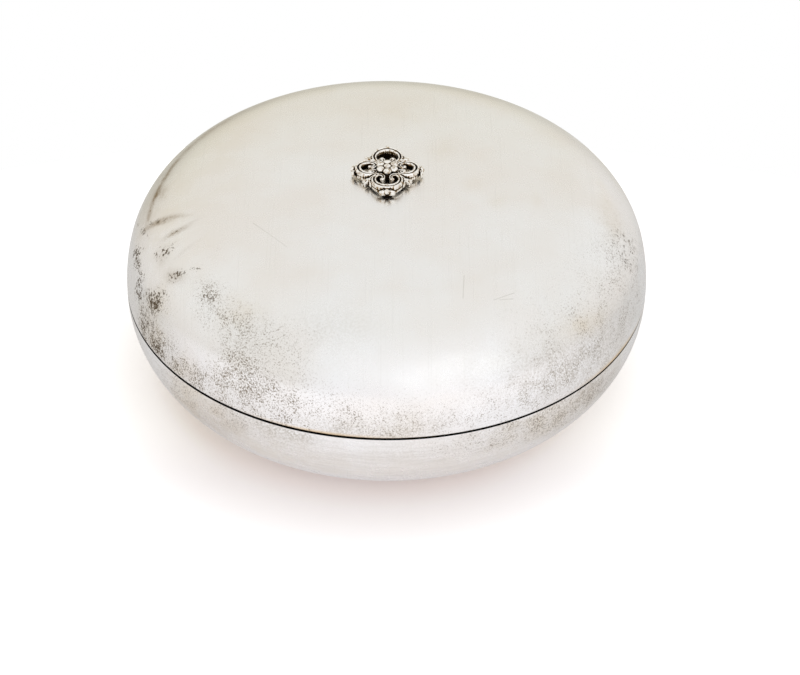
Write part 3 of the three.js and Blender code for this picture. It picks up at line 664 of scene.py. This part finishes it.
def knob(centre, radius, height, low=0, around=24, groove=0):
    """A domed knob on an upright stem, with a ring cut round its foot where it has a groove."""
    turns = np.radians(np.linspace(-90, 90, 15))
    rim = [(radius * cos(t), height * (0.5 + 0.5 * sin(t))) for t in turns]
    rim = [(r * (1 - groove * exp(-(((h / height) - 0.3) / 0.12) ** 2)), h + low) for r, h in rim]
    clock = np.linspace(0, 2 * pi, around, endpoint=False)
    vertices = [(centre[0], centre[1], rim[0][1])]
    for r, h in rim[1:-1]:
        vertices += [(centre[0] + r * cos(a), centre[1] + r * sin(a), h) for a in clock]
    vertices.append((centre[0], centre[1], rim[-1][1]))
    last = 1 + (len(rim) - 3) * around
    beside = [(j, (j + 1) % around) for j in range(around)]
    faces = [(0, 1 + k, 1 + j) for j, k in beside]
    for a in range(1, last, around):
        faces += [(a + j, a + k, a + around + k, a + around + j) for j, k in beside]
    faces += [(last + j, last + k, len(vertices) - 1) for j, k in beside]
    pieces.append((np.array(vertices), faces))


# The reeded section: two rounded ridges with a channel between them, and a bead along each flank.
REED = [(0.5, 0), (0.5, 0.3), (0.46, 0.36), (0.46, 0.44), (0.5, 0.52), (0.49, 0.66)]
REED += [(0.43, 0.84), (0.34, 0.97), (0.24, 1), (0.14, 0.94), (0.06, 0.78), (0, 0.68)]
REED += [(-u, v) for u, v in REED[-2::-1]]
scrolls = []
for quarter, radius in enumerate(SCROLL_RADII):
    angle = quarter * pi / 2
    curl = polar(radians(SCROLL_SWEEP), (1 - CURL_SHARE) * radius)
    touch = ROSETTE_RADIUS + CURL_SHARE * radius + STROKE_END * STROKE_WIDTH / 2 - MELT
    outer = sqrt(touch**2 - curl[1] ** 2) - curl[0] + radius
    scrolls.append((angle, outer, outer - radius))
    halves = []
    for side in (-1, 1):
        place, heading, half = polar(angle, outer), angle + side * pi / 2, []
        for bend_radius, sweep, steps in ((radius, SCROLL_SWEEP, 44), (radius * CURL_SHARE, CURL_SWEEP, 26)):
            centre = place + polar(heading + side * pi / 2, bend_radius)
            for i in range(1, steps + 1):
                turned_to = heading + side * radians(sweep) * i / steps
                half.append((centre + polar(turned_to - side * pi / 2, bend_radius), turned_to))
            place, heading = half[-1]
        halves.append(half)
    path = [(p, h + pi) for p, h in halves[0][::-1]]
    path += [(polar(angle, outer), angle + pi / 2)] + halves[1]
    stations = []
    for i, (place, heading) in enumerate(path):
        middle = abs(2 * i / (len(path) - 1) - 1)
        size = 1 + (STROKE_END - 1) * middle
        # Fine ribs chased across the flanks, one every fourth step of the path.
        rib = 1 + 0.035 * cos(i * pi / 2) * (middle < 0.62)
        stations.append((place, heading, STROKE_WIDTH * size * rib, STROKE_HEIGHT * (1 + size) / 2))
    bar(stations, REED)
    for place, heading in (path[0], path[-1]):
        knob(place, 0.6 * STROKE_END * STROKE_WIDTH, 1.25, low=0.75)

# Leaves: a rounded lobe with a sharp vein cut down its middle.
LEAF = []
for t in np.linspace(0, 2 * pi, 24, endpoint=False):
    vein = 0.34 * exp(-((cos(t) / 0.16) ** 2)) * (sin(t) > 0)
    LEAF.append((0.5 * cos(t), 0.42 + 0.58 * sin(t) - vein))


def leaf(start, heading, curve, length, width, height, tip):
    place, stations, steps = np.array(start), [], 22
    for i in range(steps + 1):
        along = i / steps
        direction = heading + curve * along
        if i:
            place = place + polar(direction, length / steps)
        size = tip + (1 - tip) * sin(pi * (1 / 3 + 2 / 3 * along))
        stations.append((place, direction, width * size, height * (1 + size) / 2))
    bar(stations, LEAF)


for x, y in ((1, 1), (-1, 1), (-1, -1), (1, -1)):
    angle = atan2(y * scrolls[1][2], x * scrolls[0][2])
    length = LEAF_REACH - ROSETTE_RADIUS
    leaf(polar(angle, ROSETTE_RADIUS), angle, 0, length, 1.8, 2.2, 0.25)
    branch = polar(angle, ROSETTE_RADIUS + 0.55 * length)
    for side in (-1, 1):
        leaf(branch, angle + side * 0.3, side * 1.1, 0.42 * length, 1.26, 1.87, 0.45)
for angle, outer, _ in scrolls:
    edge = outer + STROKE_WIDTH / 2
    size = (1.1 * STROKE_WIDTH, 0.55 * STROKE_WIDTH, 0.75 * STROKE_HEIGHT)
    for side in (-1, 1):
        leaf(polar(angle, edge - MELT), angle + side * 0.75, side * 1.2, *size, 0.5)
    knob(polar(angle, edge + 0.425), 0.85, 1.7, low=0.45)

# The rosette: six hollowed petals in a ring round a boss, on a drum.
knob((0, 0), ROSETTE_RADIUS * 0.97, 2 * ROSETTE_HEIGHT, low=-ROSETTE_HEIGHT, around=48)
for k in range(6):
    angle = 2 * pi * k / 6 + pi / 2
    knob(polar(angle, ROSETTE_RADIUS - 1.32), 1.28, 1.6, low=ROSETTE_HEIGHT - 0.8, around=28)
knob((0, 0), 1.35, 2, low=1.2, around=32, groove=0.25)
knob((0, 0), 0.55, 0.8, low=2.42, around=20)

points, faces = [], []
for corners, sides in pieces:
    faces += [tuple(len(points) + c for c in side) for side in sides]
    points += [tuple(p) for p in corners]
points = np.array(points)
points[:, 2] = np.maximum(points[:, 2], 0)
# The ends of the casting stay inside the frame's own box.
reach = np.array(cast_high[:2]) - 0.02
points[:, :2] = np.clip(points[:, :2], -reach, reach)
ornament = new_piece("ornament_casting", points + [0, 0, casting_back], faces)
melted = ornament.modifiers.new("melted", "REMESH")
melted.mode, melted.voxel_size, melted.use_smooth_shade = "VOXEL", CAST_SKIN * MM, True
finished(ornament)

# How hollow each place is: how far it lies below the smoothed skin around it. Oxide stays in hollows.
casting = ornament.data
count = len(casting.vertices)
co, normals = np.empty(count * 3), np.empty(count * 3)
casting.vertices.foreach_get("co", co)
casting.vertices.foreach_get("normal", normals)
co, normals = co.reshape(-1, 3) / MM, normals.reshape(-1, 3)
edges = np.empty(len(casting.edges) * 2, np.int64)
casting.edges.foreach_get("vertices", edges)
a, b = edges.reshape(-1, 2).T
neighbours = np.maximum(np.bincount(a, minlength=count) + np.bincount(b, minlength=count), 1)[:, None]


def smoothed(points, rounds):
    for _ in range(rounds):
        total = np.zeros_like(points)
        for k in range(3):
            total[:, k] = np.bincount(a, points[b, k], count) + np.bincount(b, points[a, k], count)
        points = 0.5 * points + 0.5 * total / neighbours
    return points


co = smoothed(co, SKIN_ROUNDS)
sunk_and_shaded = np.einsum("ij,ij->i", smoothed(co, HOLLOW_ROUNDS) - co, normals)

# The casting's height in a grid of cells, and its mean over three widths, counted in cells. What lies well
# below the mean, in the thick of the casting, gets painted shade, and so do the steep flanks, a little
# everywhere and most there.
cells = ceil(2 * GRID_REACH / CELL)
cell = tuple(np.clip(((co[:, k] + GRID_REACH) / CELL).astype(int), 0, cells - 1) for k in (0, 1))
above_back = co[:, 2] - casting_back
relief = np.zeros((cells, cells))
np.maximum.at(relief, cell, above_back)
means = []
for blur in BLURS:
    mean = relief
    for axis in (0, 1, 0, 1):
        mean = sum(np.roll(mean, k, axis) for k in range(-(blur // 2), blur // 2 + 1)) / blur
    means.append(mean[cell])
enclosed = np.clip((means[2] - ENCLOSED_FROM) / (ENCLOSED_FULL - ENCLOSED_FROM), 0, 1)
# Painted shade on top of the oxide: the low places among and under the strokes, and the flanks.
sunk_and_shaded += DEPTH_SHARE * enclosed * (means[0] + means[1] - 2 * above_back)
sunk_and_shaded += (FLANK_SHARE + ENCLOSED_SHARE * enclosed) * (1 - np.abs(normals[:, 2]))
# The flat back is filed clean.
oxide_and_shade = np.clip(sunk_and_shaded / HOLLOW_DEPTH, 0, 1) * np.clip((normals[:, 2] + 0.95) / 0.3, 0, 1)
casting.vertices.foreach_set("co", (co * MM).ravel())

# The feet and pins: plain round feet, and a thread cut on each pin below them.
pin_points, pin_faces = [], []
thread_end = cast_low[2]
for side in (-1, 0, 1):
    centre = side * scrolls[1][1]
    if side:
        sag = crown_radius - sqrt(crown_radius**2 - centre**2)
        foot_low = crown_top + SEAT_GAP - sag
        rows = [(0.7 * PIN_RADIUS, thread_end)]
        rows += [(PIN_RADIUS, h) for h in np.arange(thread_end + PIN_TIP, foot_low - 0.02, THREAD_PITCH / 8)]
        rows += [(PIN_RADIUS, foot_low), (FOOT_RADIUS, foot_low), (FOOT_RADIUS, casting_back + MELT)]
    else:
        foot = ROSETTE_RADIUS - FOOT_HEIGHT
        rows = [(foot, crown_top + SEAT_GAP), (foot, casting_back + MELT)]
    first = len(pin_points)
    for radius, height in rows:
        for turn in np.linspace(0, 2 * pi, PIN_AROUND, endpoint=False):
            cut = 0
            if radius == PIN_RADIUS and side:
                phase = (height / THREAD_PITCH - turn / (2 * pi)) % 1
                cut = THREAD_DEPTH * abs(2 * phase - 1)
            out = radius - cut
            pin_points.append((out * cos(turn), centre + out * sin(turn), height))
    for p in range(first, len(pin_points) - PIN_AROUND, PIN_AROUND):
        q = p + PIN_AROUND
        for j in range(PIN_AROUND):
            k = (j + 1) % PIN_AROUND
            pin_faces.append((p + j, p + k, q + k, q + j))
    pin_faces += [tuple(range(first, first + PIN_AROUND))[::-1], tuple(range(q, q + PIN_AROUND))]
pins = new_piece("pins", pin_points, pin_faces)
with bpy.context.temp_override(active_object=ornament, selected_editable_objects=[ornament, pins]):
    bpy.ops.object.join()
# One layer for the casting: oxide in its hollows, with painted shade on its flanks and low places. The pins
# get a plain share of oxide.
paint(ornament, "oxide_and_shade", np.concatenate([oxide_and_shade, np.full(len(pin_points), PIN_OXIDE)]))
ornament.data.polygons.foreach_set("use_smooth", [True] * len(ornament.data.polygons))
ornament.data.set_sharp_from_angle(angle=CAST_CREASE)


# Cast silver, oxidised black and then rubbed bright on its high places. It gives crisp white ridges against
# black hollows, with the slight grain of the mould on its skin.
# The black also holds painted shade on the flanks and in the low places between the strokes.
def oxidised_casting(tree, place):
    oxide_and_shade = add_node(tree, "Attribute", attribute_name="oxide_and_shade").outputs["Fac"]
    mottle = {"Vector": place, "Scale": 1 / (0.9 * MM), "Detail": 3, "Roughness": 0.6}
    mottle = add_node(tree, "TexNoise", mottle)
    uneven = add_node(tree, "MapRange", {"Value": mottle, 1: 0.3, 2: 0.7, 3: -0.14, 4: 0.3})
    amount = add_node(tree, "Math", {0: oxide_and_shade, 1: uneven}, operation="ADD")
    black = add_node(tree, "MapRange", {"Value": amount, 1: 0.04, 2: 0.54}, **SMOOTH)
    colour = add_node(tree, "ValToRGB", {0: black}, ((0, "#faf7f0"), (0.4, "#a38352"), (1, "#231910")))
    rough = add_node(tree, "MapRange", {"Value": black, 3: 0.16, 4: 0.5})
    grain = add_node(tree, "TexNoise", {"Vector": place, "Scale": 1 / (0.3 * MM), "Detail": 2})
    return colour, rough, add_node(tree, "Bump", {"Height": grain, "Strength": 0.3, "Distance": 0.02 * MM})


ornament.data.materials.append(metal("oxidised_cast_silver", oxidised_casting))
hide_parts("ornament")
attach(ornament, "lid")

# --------------------------------
# The fixings under the crown. A washer and a small hexagonal nut of brass on each pin, the nut
# chamfered at both ends and left as it came from the bar.
# --------------------------------
NUT_FLATS = 4
NUT_HOLE = 1.2
WASHER_HOLE = 1.3
NUT_FACE = 0.98 * NUT_FLATS / 2
NUT_EDGE = 0.06
WASHER_EDGE = 0.08
CHAMFER = tan(radians(30))
FIXING_AROUND = 72
FIXING_CREASE = radians(20)


# Brass, turned and sawn from the bar. Yellow, duller than the gilding, with fine tool lines and a
# brown bloom in patches.
def bar_brass(tree, place):
    bloom = add_node(tree, "TexNoise", {"Vector": place, "Scale": 1 / (1.2 * MM), "Detail": 3})
    patchy = add_node(tree, "MapRange", {"Value": bloom, 1: 0.4, 2: 0.7})
    colour = add_node(tree, "Mix", {0: patchy, 6: linear("#d9b266"), 7: linear("#9c7a42")}, **RGBA)
    tool = {"Vector": place, "Scale": (1 / (3 * MM), 1 / (3 * MM), 1 / (0.15 * MM))}
    tool = add_node(tree, "Mapping", tool)
    lines = add_node(tree, "TexNoise", {"Vector": tool, "Scale": 1, "Detail": 1})
    rough = add_node(tree, "MapRange", {"Value": lines, 1: 0.3, 2: 0.7, 3: 0.28, 4: 0.42})
    return colour, rough, add_node(tree, "Bump", {"Height": lines, "Strength": 0.25, "Distance": 0.01 * MM})


brass = metal("turned_bar_brass", bar_brass)
for number in (1, 2):
    for kind in ("washer", "nut"):
        low, high = (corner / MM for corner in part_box(f"pin_{kind}_{number}"))
        centre, height = (low + high) / 2, high[2] - low[2]
        points, faces = [], []
        for turn in np.radians(np.arange(FIXING_AROUND) * 360 / FIXING_AROUND):
            if kind == "nut":
                # The corners lie on the box's X axis and at every 60 degrees from it.
                out = NUT_FLATS / 2 / cos(turn % (pi / 3) - pi / 6)
                hole, face, drop = NUT_HOLE, NUT_FACE, NUT_EDGE + CHAMFER * (out - NUT_FLATS / 2)
            else:
                out = (high[0] - low[0]) / 2
                hole, face, drop = WASHER_HOLE, out - WASHER_EDGE, WASHER_EDGE
            ring = [(hole, 0), (face, 0), (out, drop), (out, height - drop), (face, height), (hole, height)]
            for r, h in ring:
                points.append((centre[0] + r * cos(turn), centre[1] + r * sin(turn), low[2] + h))
        for p in range(0, len(points), 6):
            q = (p + 6) % len(points)
            faces += [(p + k, q + k, q + (k + 1) % 6, p + (k + 1) % 6) for k in range(6)]
        fixing = new_piece(f"{kind}_{number}", points, faces)
        fixing.data.set_sharp_from_angle(angle=FIXING_CREASE)
        fixing.data.materials.append(brass)
        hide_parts(f"pin_{kind}_{number}")
        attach(fixing, "lid")

# --------------------------------
# The table. A round of matt white board under the box. It reads as white away from the box; near it a warm
# grey shadow is painted into its glow, beside the box and in front of it, on top of the box's own soft
# shadow.
# --------------------------------
BOARD_RADIUS = 420
BOARD_AHEAD = 290
BOARD_AROUND = 96

turns = np.linspace(0, 2 * pi, BOARD_AROUND, endpoint=False)
edge = [(BOARD_RADIUS * cos(t), BOARD_RADIUS * sin(t) - BOARD_AHEAD, 0) for t in turns]
board = new_piece("board", edge, [tuple(range(BOARD_AROUND))])
white = bpy.data.materials.new("white_board_painted_shadow")
white.use_nodes = True
tree = white.node_tree
tree.nodes.clear()
matt = add_node(tree, "BsdfDiffuse", {"Color": linear("#dfdedd")})

# The painted shadow that the camera sees: warm grey close to the box, beside it and in front of it.
where = add_node(tree, "NewGeometry").outputs["Position"]
out = add_node(tree, "VectorMath", {0: where, 1: (4 * MM, 0, 0)}, operation="ADD")
out = add_node(tree, "VectorMath", {0: out}, operation="LENGTH")
near_box = add_node(tree, "MapRange", {"Value": out, 1: 55 * MM, 2: 95 * MM})
depth = add_node(tree, "SeparateXYZ", {0: where}).outputs["Y"]
ahead = add_node(tree, "MapRange", {"Value": depth, 1: -30 * MM, 2: -60 * MM}, **SMOOTH)
beside = ((0, "#7a6b5d"), (0.2, "#897a6a"), (0.4, "#a8a29c"), (1, "#cac9c8"))
beside = add_node(tree, "ValToRGB", {0: near_box}, beside)
shadow_in_front = ((0, "#765e55"), (0.2, "#8a7972"), (0.4, "#988f8d"), (0.7, "#aba6a6"), (1, "#c4c0bf"))
shadow_in_front = add_node(tree, "ValToRGB", {0: near_box}, shadow_in_front)
painted_shadow = add_node(tree, "Mix", {0: ahead, 6: beside, 7: shadow_in_front}, **RGBA)

# The painted shadow that the polished bowl mirrors: dark under it and paler toward the front.
forward = add_node(tree, "MapRange", {"Value": depth, 1: 20 * MM, 2: -160 * MM})
mirrored_painted_shadow = add_node(tree, "ValToRGB", {0: forward}, ((0, "#34363a"), (0.5, "#8f8e97"), (1, "#b3b3bd")))
seen = add_node(tree, "LightPath").outputs
shadow_tone = {0: seen["Is Camera Ray"], 6: mirrored_painted_shadow, 7: painted_shadow}
shadow_tone = add_node(tree, "Mix", shadow_tone, **RGBA)
shows = add_node(tree, "Math", {0: seen["Is Camera Ray"], 1: seen["Is Glossy Ray"]}, operation="MAXIMUM")
shows = add_node(tree, "Math", {0: shows, 1: seen["Is Transmission Ray"]}, operation="MAXIMUM")
# The glow adds the painted shadow's tone, seen by the camera and in reflections.
glow = add_node(tree, "Emission", {"Color": shadow_tone, "Strength": shows})
add_node(tree, "OutputMaterial", {"Surface": add_node(tree, "AddShader", {0: matt, 1: glow})})
board.data.materials.append(white)
board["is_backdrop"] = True

# --------------------------------
# The light. A white tent all round, brightest behind the camera and dimmer and warmer towards the
# table's far edge, with a weak, wide soft lamp in front on the right. Straight to the camera the tent
# is white.
# --------------------------------
TENT_STRENGTH = 1.1
FAR_WALL_AT = (-0.4, 0.917, 0)
ROOF = "#edeeef"
LAMP_SIZE, LAMP_WATTS = 1, 0.3
LAMP_PLACE = (0.5, -1, 0.3)
LAMP_TILT, LAMP_TURN = radians(76), radians(26.5)

world = bpy.data.worlds.new("white_tent")
bpy.context.scene.world = world
world.use_nodes = True
tree = world.node_tree
tree.nodes.clear()
way = add_node(tree, "TexCoord").outputs["Generated"]
parts = add_node(tree, "SeparateXYZ", {0: way}).outputs
height = add_node(tree, "MapRange", {"Value": parts["Z"], 1: -1, 2: 1})
# Each wall's colours, from the table up to the roof.
walls = []
for stops in (
    # the far wall
    ((0, "#c8c6c2"), (0.44, "#c4c1b5"), (0.56, "#dcd9cd"), (0.69, "#e3e1da"), (0.8, "#e8e7e6"), (1, ROOF)),
    # the near wall
    ((0, "#e3e0e3"), (0.31, "#efecf5"), (0.44, "#f5f6ff"), (0.63, "#f8faff"), (0.8, "#f7f8fc"), (1, ROOF)),
    # the side walls
    ((0, "#d9d7d6"), (0.44, "#e2e0df"), (0.56, "#ebeaea"), (0.69, "#ebebeb"), (0.8, "#eaeaea"), (1, ROOF)),
):
    walls.append(add_node(tree, "ValToRGB", {0: height}, stops))
toward = add_node(tree, "VectorMath", {0: way, 1: FAR_WALL_AT}, operation="DOT_PRODUCT")
near = add_node(tree, "MapRange", {"Value": toward, 1: 0.42, 2: -0.65}, **SMOOTH)
tent = add_node(tree, "Mix", {0: near, 6: walls[0], 7: walls[1]}, **RGBA)
# The right wall stops short of the near wall, and the left one reaches a little way into it.
right = add_node(tree, "Math", {0: parts["X"], 1: 0.3}, operation="ADD")
right = add_node(tree, "Math", {0: near, 1: -0.45, 2: right}, operation="MULTIPLY_ADD")
left = add_node(tree, "Math", {0: 0.05, 1: parts["X"]}, operation="SUBTRACT")
left = add_node(tree, "Math", {0: near, 1: 0.1, 2: left}, operation="MULTIPLY_ADD")
aside = add_node(tree, "Math", {0: right, 1: left}, operation="MAXIMUM")
aside = add_node(tree, "MapRange", {"Value": aside, 1: 0.38, 2: 0.85}, **SMOOTH)
tent = add_node(tree, "Mix", {0: aside, 6: tent, 7: walls[2]}, **RGBA)
cloth = add_node(tree, "Background", {"Color": tent, "Strength": TENT_STRENGTH})
plain = add_node(tree, "Background", {"Color": (1, 1, 1, 1), "Strength": 1})
seen = add_node(tree, "LightPath").outputs["Is Camera Ray"]
sky = add_node(tree, "MixShader", {0: seen, 1: cloth, 2: plain})
add_node(tree, "OutputWorld", {"Surface": sky})

lamp = bpy.data.lights.new("soft_lamp", "AREA")
lamp.shape, lamp.size, lamp.energy = "DISK", LAMP_SIZE, LAMP_WATTS
soft_lamp = bpy.data.objects.new("soft_lamp", lamp)
soft_lamp.location = LAMP_PLACE
soft_lamp.rotation_euler = (LAMP_TILT, 0, LAMP_TURN)
bpy.context.scene.collection.objects.link(soft_lamp)

# --------------------------------
# The camera. It stands in front and looks down by 36 degrees, a very little rolled, with a long lens.
# --------------------------------
LOOKS_DOWN = radians(36.017)
DISTANCE = 0.762957
ROLL = 0.00616
FOCAL_PIXELS = 2463.05
SENSOR = 36
PHOTO_WIDTH, PHOTO_HEIGHT = 800, 675
CENTRE_X, CENTRE_Y = 386.632, 273.649

camera = bpy.data.objects.new("camera", bpy.data.cameras.new("camera"))
camera.data.sensor_width = SENSOR
camera.data.lens = FOCAL_PIXELS / PHOTO_WIDTH * SENSOR
camera.data.shift_x = (PHOTO_WIDTH / 2 - CENTRE_X) / PHOTO_WIDTH
camera.data.shift_y = (CENTRE_Y - PHOTO_HEIGHT / 2) / PHOTO_WIDTH
c, s = cos(LOOKS_DOWN), sin(LOOKS_DOWN)
r, t = cos(ROLL), sin(ROLL)
# The columns: the way to its right, up, and back from the box, and its place.
camera.matrix_world = Matrix((
    (r, -t, 0, 0),
    (t * s, r * s, -c, -DISTANCE * c),
    (t * c, r * c, s, DISTANCE * s + BOWL_MOUTH * MM),
    (0, 0, 0, 1),
))
bpy.context.scene.collection.objects.link(camera)
bpy.context.scene.camera = camera
bpy.context.scene.view_settings.view_transform = "Standard"

low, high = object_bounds()
